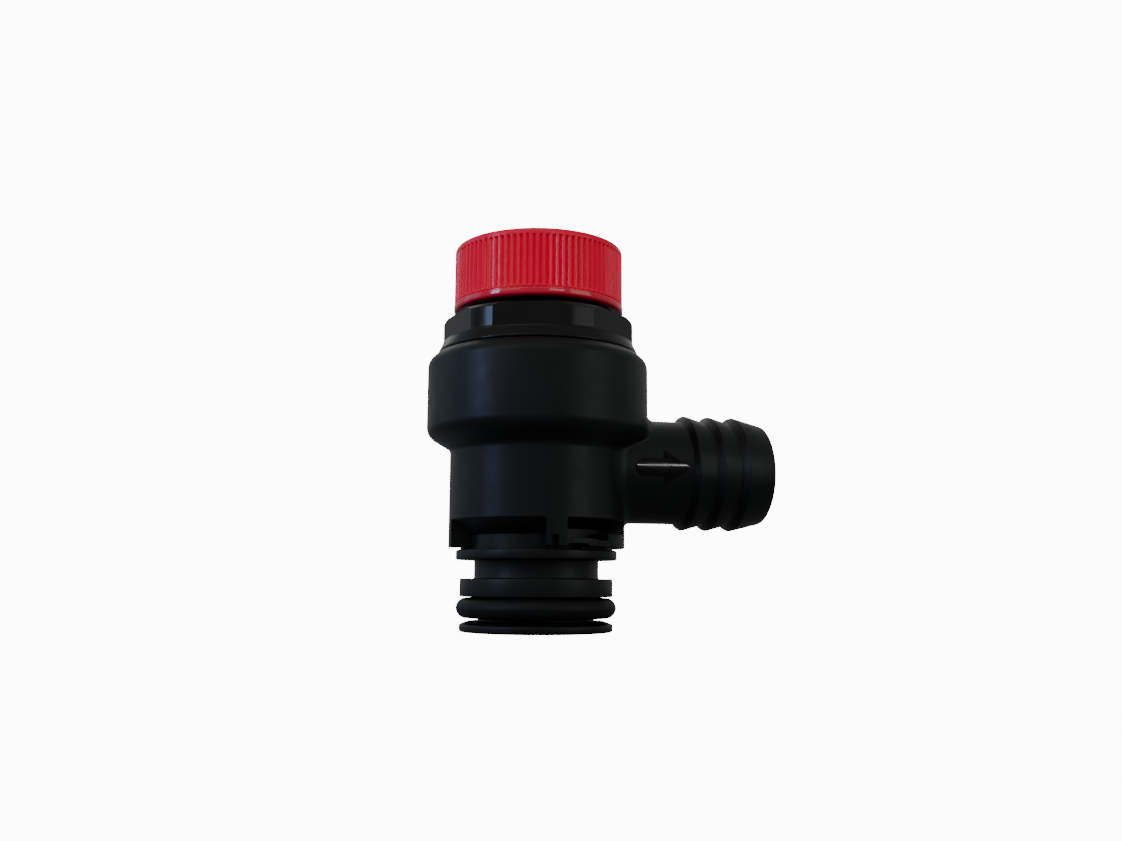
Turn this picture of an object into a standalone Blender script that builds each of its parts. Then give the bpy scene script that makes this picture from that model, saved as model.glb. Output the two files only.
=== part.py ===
"""A moulded safety valve for a boiler's hydraulic block, at its real size in metres.

The inlet spigot points down, the barbed outlet points along +X and the lifting knob is on top.
The origin is under the middle of the whole valve, on the plane of the spigot's end face. Every
piece hangs from an empty that stands on the valve's own axis.
"""

import math

import bmesh
import bpy
from mathutils import Matrix, Vector

MM = 0.001

# Fits
FIT_GAP = 0.3 * MM  # between two pieces that touch
TURN_GAP = 0.4 * MM  # between the knob and what it turns on
O_RING_GAP = 0.25 * MM  # on each side of the ring in its groove
WELD = 0.001 * MM

# Inlet spigot
SPIGOT_RADIUS = 8.9 * MM
INLET_BORE = 5.5 * MM
END_DISC_HEIGHT = 0.85 * MM
GROOVE_LEAD = 0.35 * MM
GROOVE_LEAD_WIDTH = 0.9 * MM
O_RING_RADIUS = 9.3 * MM
O_RING_SECTION = 2.3 * MM
SPIGOT_FLANGE_HEIGHT = 2.05 * MM
CLIP_GROOVE_RADIUS = 7.25 * MM
CLIP_GROOVE_HEIGHT = 2.13 * MM
STOP_FLANGE_RADIUS = 9.4 * MM
STOP_FLANGE_HEIGHT = 1.13 * MM
EDGE_ROUND = 0.2 * MM

# Cored pockets at the foot of the tube
POCKET_CORE_RADIUS = 8.0 * MM
POCKET_OVERLAP = 0.5 * MM  # how far the pockets' cutter runs into the core
FOOT_SINK = 0.3 * MM  # how far the tube's foot runs into the stop flange
FOOT_DRAFT = 0.25 * MM
FOOT_GAP = 0.36 * MM
FOOT_BAR_HEIGHT = 1.0 * MM
FOOT_SLOT_HEIGHT = 2.05 * MM
POST_WIDTH = 2.3 * MM
OUTLET_POST_ANGLE = math.radians(22)
POCKET_ROOF = 1.18 * MM

# Tube, barrel and chamber of the body
CHAMBER_RADIUS = 8.8 * MM
TUBE_WALL = 1.5 * MM
TUBE_HEIGHT = 11.64 * MM
SHOULDER_RISE = 1.7 * MM
SHOULDER_ROUND = 1.6 * MM
SHOULDER_FILLET = 0.8 * MM
BARREL_WALL = 2.5 * MM
BARREL_HEIGHT = 8.65 * MM
CROWN_RISE = 0.9 * MM
CROWN_ROUND = 1.85 * MM
RIM_WALL = 1.45 * MM
SEAT_HEIGHT = 3.2 * MM
SEAT_LIP_WIDTH = 0.4 * MM
NOZZLE_WALL = 1.2 * MM

# Hose outlet
OUTLET_BORE = 4.6 * MM
OUTLET_WALL = 1.65 * MM
OUTLET_RISE = 0.4 * MM  # of its bore's lowest line over the chamber floor
OUTLET_REACH = 27.8 * MM
OUTLET_FILLET = 1.1 * MM
BARB_COUNT = 3
BARB_CREST = 7.0 * MM
BARB_ROOT = 6.3 * MM
BARB_PITCH = 3.1 * MM
BARB_BACK = 0.6 * MM
TIP_RADIUS = 6.1 * MM
TIP_LENGTH = 3.6 * MM

# Bonnet
PLUG_RADIUS = 10.3 * MM
PLUG_WALL = 1.6 * MM
PLUG_LENGTH = 4.5 * MM
PLUG_NECK_LOW = 2.0 * MM  # its bore narrows to the spring chamber between these heights
PLUG_NECK_HIGH = 3.4 * MM
FLARE_HEIGHT = 1.25 * MM
HEX_FLATS = 21.0 * MM
HEX_CORNER_RADIUS = 11.35 * MM
HEX_HEIGHT = 3.2 * MM
HEX_CHAMFER = 0.9 * MM
HEX_TURN = math.radians(-76.5)
SPRING_CHAMBER_RADIUS = 7.3 * MM
COLLAR_WALL = 1.4 * MM
COLLAR_HEIGHT = 3.9 * MM

# Lifting cams, on the bonnet's collar and inside the knob
CAM_COUNT = 4
CAM_RAMP_ANGLE = math.radians(75)
CAM_RISE = 1.4 * MM

# Seal, disc holder and diaphragm
SEAL_RADIUS = 6.9 * MM
SEAL_THICKNESS = 1.8 * MM
HOLDER_WALL = 0.7 * MM
HOLDER_SKIRT = 1.2 * MM
HOLDER_WEB = 1.2 * MM
HOLDER_NECK_RADIUS = 3.6 * MM
HOLDER_TOP_RADIUS = 5.8 * MM
HOLDER_TOP_THICKNESS = 1.2 * MM
DIAPHRAGM_THICKNESS = 1.2 * MM
DIAPHRAGM_FLAT_RADIUS = 6.6 * MM
DIAPHRAGM_ARCH = 0.8 * MM
SLIP_RING_THICKNESS = 0.6 * MM
SLIP_RING_WIDTH = 1.1 * MM

# Spring and its seats
WIRE = 1.2 * MM
SPRING_MEAN_RADIUS = 5.2 * MM
SPRING_TURNS = 4.25
END_COIL_TURNS = 0.75
PLATE_THICKNESS = 1.0 * MM
PLATE_RIM_HEIGHT = 0.8 * MM
PLATE_RIM_WALL = 0.5 * MM
SPRING_WASHER_THICKNESS = 0.5 * MM
ADJUSTER_THICKNESS = 1.6 * MM
ADJUSTER_DEPTH = 1.0 * MM
ADJUSTER_SLOT_WIDTH = 1.6 * MM
ADJUSTER_SLOT_DEPTH = 0.9 * MM

# Stem and its fastening
STEM_RADIUS = 2.0 * MM
STEM_COLLAR_RADIUS = 3.4 * MM
STEM_COLLAR_THICKNESS = 1.0 * MM
STEM_GUIDE_GAP = 0.6 * MM
KNOB_WASHER_RADIUS = 3.9 * MM
KNOB_WASHER_THICKNESS = 0.5 * MM
NUT_FLATS = 5.5 * MM
NUT_THICKNESS = 1.2 * MM
STEM_END = 0.2 * MM

# Knob
KNOB_WALL = 1.1 * MM
KNOB_LIFT_GAP = 0.55 * MM
KNOB_WEB = 1.1 * MM
KNOB_BAND_HEIGHT = 1.0 * MM
KNOB_TOP_ROUND = 0.7 * MM
RIB_COUNT = 84
RIB_DEPTH = 0.28 * MM
CAP_RADIUS = 5.3 * MM
CAP_THICKNESS = 1.05 * MM
CAP_SINK = 0.1 * MM
CAP_SEAT_WIDTH = 0.9 * MM

# Facets round a full turn
BODY_FACETS = 48
OUTLET_FACETS = 40
SMALL_FACETS = 32
INNER_FACETS = 24
CUTTER_REACH = 2.0 * MM  # how far a cutter runs past what it cuts

# Radii that follow from the sizes above
TUBE_RADIUS = CHAMBER_RADIUS + TUBE_WALL
UPPER_BORE = PLUG_RADIUS + FIT_GAP
BARREL_RADIUS = UPPER_BORE + BARREL_WALL
RIM_RADIUS = UPPER_BORE + RIM_WALL
GROOVE_FLOOR = O_RING_RADIUS - O_RING_SECTION - O_RING_GAP
OUTLET_RADIUS = OUTLET_BORE + OUTLET_WALL
NOZZLE_RADIUS = INLET_BORE + NOZZLE_WALL
PLUG_BORE = PLUG_RADIUS - PLUG_WALL
COLLAR_RADIUS = SPRING_CHAMBER_RADIUS + COLLAR_WALL
SKIRT_BORE = COLLAR_RADIUS + TURN_GAP
KNOB_RADIUS = SKIRT_BORE + KNOB_WALL
HUB_RADIUS = SPRING_CHAMBER_RADIUS - TURN_GAP
STEM_HOLE = STEM_RADIUS + FIT_GAP
CUP_BORE = SEAL_RADIUS + FIT_GAP
CUP_RADIUS = CUP_BORE + HOLDER_WALL
PLATE_CUP = SPRING_MEAN_RADIUS + WIRE / 2 + FIT_GAP

# Heights, from the spigot's end face up
GROOVE_LOW = END_DISC_HEIGHT + GROOVE_LEAD
GROOVE_HIGH = GROOVE_LOW + O_RING_SECTION + 2 * O_RING_GAP
SPIGOT_TOP = GROOVE_HIGH + SPIGOT_FLANGE_HEIGHT
CLIP_TOP = SPIGOT_TOP + CLIP_GROOVE_HEIGHT
STOP_TOP = CLIP_TOP + STOP_FLANGE_HEIGHT
BAR_LOW = STOP_TOP + FOOT_GAP
BAR_HIGH = BAR_LOW + FOOT_BAR_HEIGHT
POCKET_TOP = BAR_HIGH + FOOT_SLOT_HEIGHT
CHAMBER_FLOOR = POCKET_TOP + POCKET_ROOF
OUTLET_Z = CHAMBER_FLOOR + OUTLET_RISE + OUTLET_BORE
SEAT_Z = CHAMBER_FLOOR + SEAT_HEIGHT
SHOULDER_LOW = STOP_TOP + TUBE_HEIGHT
SHOULDER_HIGH = SHOULDER_LOW + SHOULDER_RISE
CROWN_LOW = SHOULDER_HIGH + BARREL_HEIGHT
RIM_TOP = CROWN_LOW + CROWN_RISE
FLANGE_LOW = RIM_TOP + FIT_GAP
PLUG_LOW = FLANGE_LOW - PLUG_LENGTH
SLIP_TOP = PLUG_LOW - FIT_GAP
SLIP_LOW = SLIP_TOP - SLIP_RING_THICKNESS
DIAPHRAGM_TOP = SLIP_LOW - FIT_GAP
DIAPHRAGM_LOW = DIAPHRAGM_TOP - DIAPHRAGM_THICKNESS
LEDGE_Z = DIAPHRAGM_LOW - FIT_GAP
SEAL_LOW = SEAT_Z + FIT_GAP
SEAL_TOP = SEAL_LOW + SEAL_THICKNESS
HOLDER_WEB_LOW = SEAL_TOP + FIT_GAP
HOLDER_WEB_TOP = HOLDER_WEB_LOW + HOLDER_WEB
HOLDER_TOP = DIAPHRAGM_LOW - FIT_GAP
PLATE_LOW = DIAPHRAGM_TOP + FIT_GAP
PLATE_TOP = PLATE_LOW + PLATE_THICKNESS
STEM_COLLAR_LOW = PLATE_TOP + FIT_GAP
HEX_LOW = FLANGE_LOW + FLARE_HEIGHT
HEX_TOP = HEX_LOW + HEX_HEIGHT
CAM_BASE = HEX_TOP + COLLAR_HEIGHT
ADJUSTER_TOP = CAM_BASE - ADJUSTER_DEPTH
ADJUSTER_LOW = ADJUSTER_TOP - ADJUSTER_THICKNESS
SPRING_WASHER_TOP = ADJUSTER_LOW - FIT_GAP
SPRING_WASHER_LOW = SPRING_WASHER_TOP - SPRING_WASHER_THICKNESS
SPRING_LOW = PLATE_TOP + FIT_GAP
SPRING_HIGH = SPRING_WASHER_LOW - FIT_GAP
KNOB_RIM_Z = HEX_TOP + KNOB_LIFT_GAP
HUB_LOW = ADJUSTER_TOP + TURN_GAP
WEB_TOP = HUB_LOW + KNOB_WEB
KNOB_WASHER_LOW = WEB_TOP + FIT_GAP
KNOB_WASHER_TOP = KNOB_WASHER_LOW + KNOB_WASHER_THICKNESS
NUT_LOW = KNOB_WASHER_TOP + FIT_GAP
NUT_TOP = NUT_LOW + NUT_THICKNESS
STEM_TOP = NUT_TOP + STEM_END
CAP_LOW = STEM_TOP + FIT_GAP
CAP_TOP = CAP_LOW + CAP_THICKNESS
KNOB_TOP = CAP_TOP + CAP_SINK

# The valve's axis, placed so that the origin is under the middle of the whole valve
AXIS_X = (BARREL_RADIUS - OUTLET_REACH) / 2


def clear_scene():
    """Removes whatever the file holds."""
    for old in list(bpy.data.objects):
        bpy.data.objects.remove(old, do_unlink=True)


def finish(name, colour, roughness, metallic=0.0):
    """A Principled material."""
    material = bpy.data.materials.new(name)
    material.use_nodes = True
    shader = material.node_tree.nodes["Principled BSDF"]
    shader.inputs["Base Color"].default_value = (*colour, 1.0)
    shader.inputs["Roughness"].default_value = roughness
    shader.inputs["Metallic"].default_value = metallic
    return material


def add_object(name, data, material=None):
    """Links an object and hangs it from the valve's axis."""
    piece = bpy.data.objects.new(name, data)
    bpy.context.scene.collection.objects.link(piece)
    piece.parent = axis
    if material is not None:
        data.materials.append(material)
    return piece


def add_mesh(name, bm, material=None):
    """Turns a bmesh into an object, with its round faces smooth and its corners sharp."""
    bmesh.ops.recalc_face_normals(bm, faces=bm.faces)
    mesh = bpy.data.meshes.new(name)
    bm.to_mesh(mesh)
    bm.free()
    mesh.shade_smooth()
    mesh.set_sharp_from_angle(angle=math.radians(30))
    return add_object(name, mesh, material)


def make_tool(piece):
    """Marks a solid that only cuts or adds to another."""
    piece.hide_render = True
    piece.display_type = "WIRE"
    return piece


def combine(piece, tool, operation):
    """Adds a Boolean with a tool solid."""
    modifier = piece.modifiers.new(tool.name, "BOOLEAN")
    modifier.operation = operation
    modifier.solver = "EXACT"
    modifier.object = make_tool(tool)


def rounded(corners):
    """An outline's points, with each corner that has a fillet radius turned into an arc.

    A corner is (radius, height) or (radius, height, fillet). A small fillet is one flat.
    """
    points = []
    last = len(corners) - 1
    for index, corner in enumerate(corners):
        here = Vector(corner[:2])
        fillet = corner[2] if len(corner) > 2 else 0.0
        if fillet <= 0 or index in (0, last):
            points.append(here)
            continue
        before = Vector(corners[index - 1][:2]) - here
        after = Vector(corners[index + 1][:2]) - here
        half = before.angle(after) / 2
        reach = min(fillet / math.tan(half), 0.5 * before.length, 0.5 * after.length)
        radius = reach * math.tan(half)
        before.normalize()
        after.normalize()
        centre = here + (before + after).normalized() * radius / math.sin(half)
        start = here + before * reach - centre
        end = here + after * reach - centre
        turn = start.angle_signed(end)
        steps = 3 if radius > 2 * EDGE_ROUND else 1
        for step in range(steps + 1):
            spoke = start.copy()
            spoke.rotate(Matrix.Rotation(-turn * step / steps, 2))
            points.append(centre + spoke)
    return points


def turn_outline(points, facets, closed=True):
    """Spins an outline about Z. An open outline starts and ends on the axis."""
    bm = bmesh.new()
    verts = [bm.verts.new((point[0], 0, point[1])) for point in points]
    edges = [bm.edges.new(pair) for pair in zip(verts, verts[1:])]
    if closed:
        edges.append(bm.edges.new((verts[-1], verts[0])))
    bmesh.ops.spin(
        bm,
        geom=verts + edges,
        cent=(0, 0, 0),
        axis=(0, 0, 1),
        angle=math.tau,
        steps=facets,
    )
    bmesh.ops.remove_doubles(bm, verts=bm.verts, dist=WELD)
    return bm


def skin(rings):
    """Joins rings of equally many points with quads and closes both ends."""
    bm = bmesh.new()
    rows = [[bm.verts.new(point) for point in ring] for ring in rings]
    count = len(rows[0])
    for low, high in zip(rows, rows[1:]):
        for i in range(count):
            j = (i + 1) % count
            bm.faces.new((low[i], low[j], high[j], high[i]))
    bm.faces.new(rows[0])
    bm.faces.new(rows[-1])
    return bm


def prism(sides, flats, low, high, turn=0.0):
    """An upright prism with the given number of sides and distance across its flats."""
    reach = flats / 2 / math.cos(math.pi / sides)
    angles = [turn + math.tau * i / sides for i in range(sides)]
    ring = [(reach * math.cos(a), reach * math.sin(a)) for a in angles]
    return skin([[(x, y, z) for x, y in ring] for z in (low, high)])


def cam_rise(angle):
    """Height of the cam track over its base: a ramp, then a short fall to the next ramp."""
    pitch = math.tau / CAM_COUNT
    place = angle % pitch
    if pitch - place < 1e-6:
        place = 0.0
    if place <= CAM_RAMP_ANGLE:
        return CAM_RISE * place / CAM_RAMP_ANGLE
    return CAM_RISE * (pitch - place) / (pitch - CAM_RAMP_ANGLE)


def raise_cams(bm, level):
    """Lifts the flat ring at one height into the cam track."""
    for vert in bm.verts:
        if abs(vert.co.z - level) < WELD:
            vert.co.z += cam_rise(math.atan2(vert.co.y, vert.co.x))


def spigot_outline():
    """The spigot's outer shape, from its end face up into the foot of the tube."""
    return rounded([
        (0, 0),
        (SPIGOT_RADIUS, 0, 1.5 * EDGE_ROUND),
        (SPIGOT_RADIUS, END_DISC_HEIGHT, EDGE_ROUND),
        (SPIGOT_RADIUS - GROOVE_LEAD_WIDTH, GROOVE_LOW),
        (GROOVE_FLOOR, GROOVE_LOW),
        (GROOVE_FLOOR, GROOVE_HIGH),
        (SPIGOT_RADIUS, GROOVE_HIGH),
        (SPIGOT_RADIUS, SPIGOT_TOP),
        (CLIP_GROOVE_RADIUS, SPIGOT_TOP),
        (CLIP_GROOVE_RADIUS, CLIP_TOP),
        (STOP_FLANGE_RADIUS, CLIP_TOP, EDGE_ROUND),
        (STOP_FLANGE_RADIUS, STOP_TOP, EDGE_ROUND),
        (POCKET_CORE_RADIUS, STOP_TOP),
        (POCKET_CORE_RADIUS, CHAMBER_FLOOR),
        (0, CHAMBER_FLOOR),
    ])


def tube_outline():
    """The outer shape of the tube and barrel, from inside the stop flange up to the rim."""
    return rounded([
        (0, STOP_TOP - FOOT_SINK),
        (POCKET_CORE_RADIUS - POCKET_OVERLAP, STOP_TOP - FOOT_SINK),
        (TUBE_RADIUS, STOP_TOP + FOOT_DRAFT),
        (TUBE_RADIUS, SHOULDER_LOW, SHOULDER_FILLET),
        (BARREL_RADIUS, SHOULDER_HIGH, SHOULDER_ROUND),
        (BARREL_RADIUS, CROWN_LOW, CROWN_ROUND),
        (RIM_RADIUS, RIM_TOP, EDGE_ROUND),
        (0, RIM_TOP),
    ])


def radius_at(outline, height):
    """The tube outline's radius at a height."""
    for low, high in zip(outline, outline[1:]):
        if low[1] <= height <= high[1] and high[1] > low[1]:
            share = (height - low[1]) / (high[1] - low[1])
            return low[0] + share * (high[0] - low[0])
    return TUBE_RADIUS


def outlet_profile():
    """The hose spigot's outline as (distance from the valve's axis, radius)."""
    first = OUTLET_REACH - TIP_LENGTH - (BARB_COUNT - 1) * BARB_PITCH
    points = []
    for i in range(BARB_COUNT):
        crest = first + i * BARB_PITCH
        foot = OUTLET_RADIUS if i == 0 else BARB_ROOT
        points += [
            (crest - BARB_BACK, foot),
            (crest - EDGE_ROUND, BARB_CREST - EDGE_ROUND / 2),
            (crest + EDGE_ROUND, BARB_CREST),
        ]
    points += [(OUTLET_REACH - EDGE_ROUND, TIP_RADIUS), (OUTLET_REACH, TIP_RADIUS - EDGE_ROUND)]
    return points


def outlet_ring(place):
    """One ring of the outlet; place gives (x, radius) for the ring's angle."""
    ring = []
    for i in range(OUTLET_FACETS):
        angle = math.tau * i / OUTLET_FACETS
        x, radius = place(angle)
        ring.append((x, radius * math.cos(angle), OUTLET_Z + radius * math.sin(angle)))
    return ring


def make_outlet(outline):
    """The outlet: a fillet that follows the body round, a plain neck, barbs and a tip."""

    def wall(radius, angle):
        across = radius * math.cos(angle)
        around = radius_at(outline, OUTLET_Z + radius * math.sin(angle))
        return math.sqrt(around**2 - across**2)

    def root(sweep):
        radius = OUTLET_RADIUS + OUTLET_FILLET * (1 - math.cos(sweep))
        lift = OUTLET_FILLET * (1 - math.sin(sweep))
        return outlet_ring(lambda angle: (wall(radius, angle) + lift, radius))

    inner = CHAMBER_RADIUS / 2
    rings = [outlet_ring(lambda angle: (inner, OUTLET_RADIUS + OUTLET_FILLET))]
    steps = 4
    for step in range(steps, -1, -1):
        rings.append(root(math.pi / 2 * step / steps))
    for x, radius in outlet_profile():
        rings.append(outlet_ring(lambda angle: (x, radius)))
    return add_mesh("outlet_tool", skin(rings))


def make_cavity():
    """What the turned hollow of the body removes: bore, nozzle, chamber and bonnet seat."""
    lip = (INLET_BORE + NOZZLE_RADIUS - SEAT_LIP_WIDTH) / 2
    outline = rounded([
        (0, -CUTTER_REACH),
        (INLET_BORE, -CUTTER_REACH),
        (INLET_BORE, SEAT_Z - SEAT_LIP_WIDTH),
        (lip, SEAT_Z),
        (lip + SEAT_LIP_WIDTH, SEAT_Z),
        (NOZZLE_RADIUS, SEAT_Z - SEAT_LIP_WIDTH),
        (NOZZLE_RADIUS, CHAMBER_FLOOR, 2 * EDGE_ROUND),
        (CHAMBER_RADIUS, CHAMBER_FLOOR, 2 * EDGE_ROUND),
        (CHAMBER_RADIUS, LEDGE_Z),
        (UPPER_BORE, LEDGE_Z),
        (UPPER_BORE, RIM_TOP + CUTTER_REACH),
        (0, RIM_TOP + CUTTER_REACH),
    ])
    return add_mesh("cavity_tool", turn_outline(outline, BODY_FACETS, closed=False))


def make_outlet_bore():
    """The outlet's bore, from the chamber out through the tip."""
    outline = [
        (0, 0),
        (OUTLET_BORE, 0),
        (OUTLET_BORE, OUTLET_REACH + CUTTER_REACH),
        (0, OUTLET_REACH + CUTTER_REACH),
    ]
    bm = turn_outline(outline, OUTLET_FACETS, closed=False)
    bm.transform(Matrix.Translation((0, 0, OUTLET_Z)) @ Matrix.Rotation(math.pi / 2, 4, "Y"))
    return add_mesh("outlet_bore_tool", bm)


def add_sector(bm, low, high, start, end):
    """Adds a ring sector, from inside the pockets' core to past the tube, to a cutter."""
    steps = max(2, round((end - start) * BODY_FACETS / math.tau))
    inside = POCKET_CORE_RADIUS - POCKET_OVERLAP
    outside = TUBE_RADIUS + CUTTER_REACH
    rows = []
    for i in range(steps + 1):
        angle = start + (end - start) * i / steps
        ring = [(inside, low), (outside, low), (outside, high), (inside, high)]
        rows.append([bm.verts.new((r * math.cos(angle), r * math.sin(angle), z)) for r, z in ring])
    for one, two in zip(rows, rows[1:]):
        for i in range(4):
            j = (i + 1) % 4
            bm.faces.new((one[i], one[j], two[j], two[i]))
    bm.faces.new(rows[0])
    bm.faces.new(rows[-1])


def make_pockets():
    """The cored pockets: open at the foot on the back half, slots over a bar on the outlet half."""
    bm = bmesh.new()
    post = math.asin(POST_WIDTH / 2 / TUBE_RADIUS)
    quarter = math.pi / 2
    foot = STOP_TOP - CUTTER_REACH
    for side in (1, -1):
        back = sorted((side * (quarter + post), side * (math.pi - post)))
        front = sorted((side * OUTLET_POST_ANGLE, side * (quarter - post)))
        add_sector(bm, foot, POCKET_TOP, *back)
        add_sector(bm, BAR_HIGH, POCKET_TOP, *front)
        add_sector(bm, foot, BAR_LOW, *front)
    return add_mesh("pocket_tool", bm)


def make_valve_body(material):
    tube = tube_outline()
    body = add_mesh("valve_body", turn_outline(tube, BODY_FACETS, closed=False), material)
    combine(body, make_pockets(), "DIFFERENCE")
    spigot = turn_outline(spigot_outline(), BODY_FACETS, closed=False)
    combine(body, add_mesh("spigot_tool", spigot), "UNION")
    combine(body, make_outlet(tube), "UNION")
    combine(body, make_cavity(), "DIFFERENCE")
    combine(body, make_outlet_bore(), "DIFFERENCE")


def make_inlet_o_ring(material):
    radius = O_RING_SECTION / 2
    middle = O_RING_RADIUS - radius
    height = GROOVE_LOW + O_RING_GAP + radius
    sides = 8
    outline = []
    for i in range(sides):
        angle = math.tau * (i + 0.5) / sides
        outline.append((middle + radius * math.cos(angle), height + radius * math.sin(angle)))
    add_mesh("inlet_o_ring", turn_outline(outline, BODY_FACETS), material)


def make_hex_tool():
    """What the spanner flats remove: a hexagonal tube round the bonnet."""
    low, high = HEX_LOW, HEX_TOP + FIT_GAP
    outside = HEX_FLATS + 2 * CUTTER_REACH
    bm = bmesh.new()
    rows = []
    for flats, z in ((HEX_FLATS, low), (outside, low), (outside, high), (HEX_FLATS, high)):
        reach = flats / 2 / math.cos(math.pi / 6)
        ring = []
        for i in range(6):
            angle = HEX_TURN + math.tau * i / 6
            ring.append(bm.verts.new((reach * math.cos(angle), reach * math.sin(angle), z)))
        rows.append(ring)
    for one, two in zip(rows, rows[1:] + rows[:1]):
        for i in range(6):
            j = (i + 1) % 6
            bm.faces.new((one[i], one[j], two[j], two[i]))
    return add_mesh("hex_tool", bm)


def make_bonnet(material):
    """Cover with its screwed plug, flange, spanner hexagon and cam collar."""
    outline = rounded([
        (PLUG_BORE, PLUG_LOW),
        (PLUG_RADIUS, PLUG_LOW, 2 * EDGE_ROUND),
        (PLUG_RADIUS, FLANGE_LOW),
        (RIM_RADIUS, FLANGE_LOW, EDGE_ROUND),
        (HEX_CORNER_RADIUS, HEX_LOW, FLARE_HEIGHT),
        (HEX_CORNER_RADIUS, HEX_TOP - HEX_CHAMFER),
        (HEX_CORNER_RADIUS - HEX_CHAMFER, HEX_TOP),
        (COLLAR_RADIUS, HEX_TOP, EDGE_ROUND),
        (COLLAR_RADIUS, CAM_BASE),
        (SPRING_CHAMBER_RADIUS, CAM_BASE),
        (SPRING_CHAMBER_RADIUS, PLUG_LOW + PLUG_NECK_HIGH),
        (PLUG_BORE, PLUG_LOW + PLUG_NECK_LOW),
    ])
    bm = turn_outline(outline, BODY_FACETS)
    raise_cams(bm, CAM_BASE)
    bonnet = add_mesh("bonnet", bm, material)
    combine(bonnet, make_hex_tool(), "DIFFERENCE")


def make_seat_seal(material):
    outline = rounded([
        (0, SEAL_LOW),
        (SEAL_RADIUS, SEAL_LOW, EDGE_ROUND),
        (SEAL_RADIUS, SEAL_TOP),
        (0, SEAL_TOP),
    ])
    add_mesh("seat_seal", turn_outline(outline, INNER_FACETS, closed=False), material)


def make_disc_holder(material):
    """Turned holder: a cup for the seal, a neck with the stem's hole, and a clamping disc."""
    outline = rounded([
        (0, HOLDER_WEB_LOW),
        (CUP_BORE, HOLDER_WEB_LOW),
        (CUP_BORE, HOLDER_WEB_LOW - HOLDER_SKIRT),
        (CUP_RADIUS, HOLDER_WEB_LOW - HOLDER_SKIRT),
        (CUP_RADIUS, HOLDER_WEB_TOP, 2 * EDGE_ROUND),
        (HOLDER_NECK_RADIUS, HOLDER_WEB_TOP, 3 * EDGE_ROUND),
        (HOLDER_NECK_RADIUS, HOLDER_TOP - HOLDER_TOP_THICKNESS, 3 * EDGE_ROUND),
        (HOLDER_TOP_RADIUS, HOLDER_TOP - HOLDER_TOP_THICKNESS),
        (HOLDER_TOP_RADIUS, HOLDER_TOP),
        (STEM_HOLE, HOLDER_TOP),
        (STEM_HOLE, HOLDER_WEB_TOP),
        (0, HOLDER_WEB_TOP),
    ])
    add_mesh("disc_holder", turn_outline(outline, INNER_FACETS, closed=False), material)


def make_diaphragm(material):
    """Rubber disc with a flat middle and rim and one rolled arch between them."""
    inner = DIAPHRAGM_FLAT_RADIUS + FIT_GAP
    outer = PLUG_BORE
    steps = 4
    arch = []
    for i in range(steps + 1):
        share = i / steps
        arch.append((inner + (outer - inner) * share, DIAPHRAGM_ARCH * math.sin(math.pi * share)))
    lower = [(r, DIAPHRAGM_LOW + rise) for r, rise in arch]
    upper = [(r, DIAPHRAGM_TOP + rise) for r, rise in reversed(arch)]
    outline = [(STEM_HOLE, DIAPHRAGM_LOW), *lower, (PLUG_RADIUS, DIAPHRAGM_LOW)]
    outline += [(PLUG_RADIUS, DIAPHRAGM_TOP), *upper, (STEM_HOLE, DIAPHRAGM_TOP)]
    add_mesh("diaphragm", turn_outline(outline, INNER_FACETS), material)


def make_ring(name, inner, outer, low, high, material, facets=INNER_FACETS):
    """A flat ring."""
    outline = [(inner, low), (outer, low), (outer, high), (inner, high)]
    return add_mesh(name, turn_outline(outline, facets), material)


def make_spring_plate(material):
    """Pressed cup that takes the spring's end turn."""
    outline = rounded([
        (STEM_HOLE, PLATE_LOW),
        (PLATE_CUP + PLATE_RIM_WALL, PLATE_LOW, 2 * EDGE_ROUND),
        (PLATE_CUP + PLATE_RIM_WALL, PLATE_TOP + PLATE_RIM_HEIGHT),
        (PLATE_CUP, PLATE_TOP + PLATE_RIM_HEIGHT),
        (PLATE_CUP, PLATE_TOP),
        (STEM_HOLE, PLATE_TOP),
    ])
    add_mesh("spring_plate", turn_outline(outline, INNER_FACETS), material)


def make_stem(material):
    """Rod from the disc holder up to the knob's nut, with the collar that clamps the plate."""
    collar_top = STEM_COLLAR_LOW + STEM_COLLAR_THICKNESS
    outline = rounded([
        (0, HOLDER_WEB_TOP + FIT_GAP),
        (STEM_RADIUS, HOLDER_WEB_TOP + FIT_GAP, EDGE_ROUND),
        (STEM_RADIUS, STEM_COLLAR_LOW),
        (STEM_COLLAR_RADIUS, STEM_COLLAR_LOW),
        (STEM_COLLAR_RADIUS, collar_top, EDGE_ROUND),
        (STEM_RADIUS, collar_top),
        (STEM_RADIUS, STEM_TOP, EDGE_ROUND),
        (0, STEM_TOP),
    ])
    add_mesh("stem", turn_outline(outline, SMALL_FACETS // 2, closed=False), material)


def make_valve_spring(material):
    """Wire wound on a helix whose end turns lie close together."""
    facets = 18
    sides = 8
    count = round(SPRING_TURNS * facets)
    middle_turns = SPRING_TURNS - 2 * END_COIL_TURNS
    middle_rise = SPRING_HIGH - SPRING_LOW - WIRE - 2 * END_COIL_TURNS * WIRE
    rings = []
    for i in range(count + 1):
        turns = SPRING_TURNS * i / count
        middle = min(max(turns - END_COIL_TURNS, 0.0), middle_turns)
        height = SPRING_LOW + WIRE / 2 + (turns - middle) * WIRE
        height += middle / middle_turns * middle_rise
        angle = math.tau * turns
        ring = []
        for k in range(sides):
            around = math.tau * (k + 0.5) / sides
            reach = SPRING_MEAN_RADIUS + WIRE / 2 * math.cos(around)
            z = height + WIRE / 2 * math.sin(around)
            ring.append((reach * math.cos(angle), reach * math.sin(angle), z))
        rings.append(ring)
    add_mesh("valve_spring", skin(rings), material)


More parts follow.
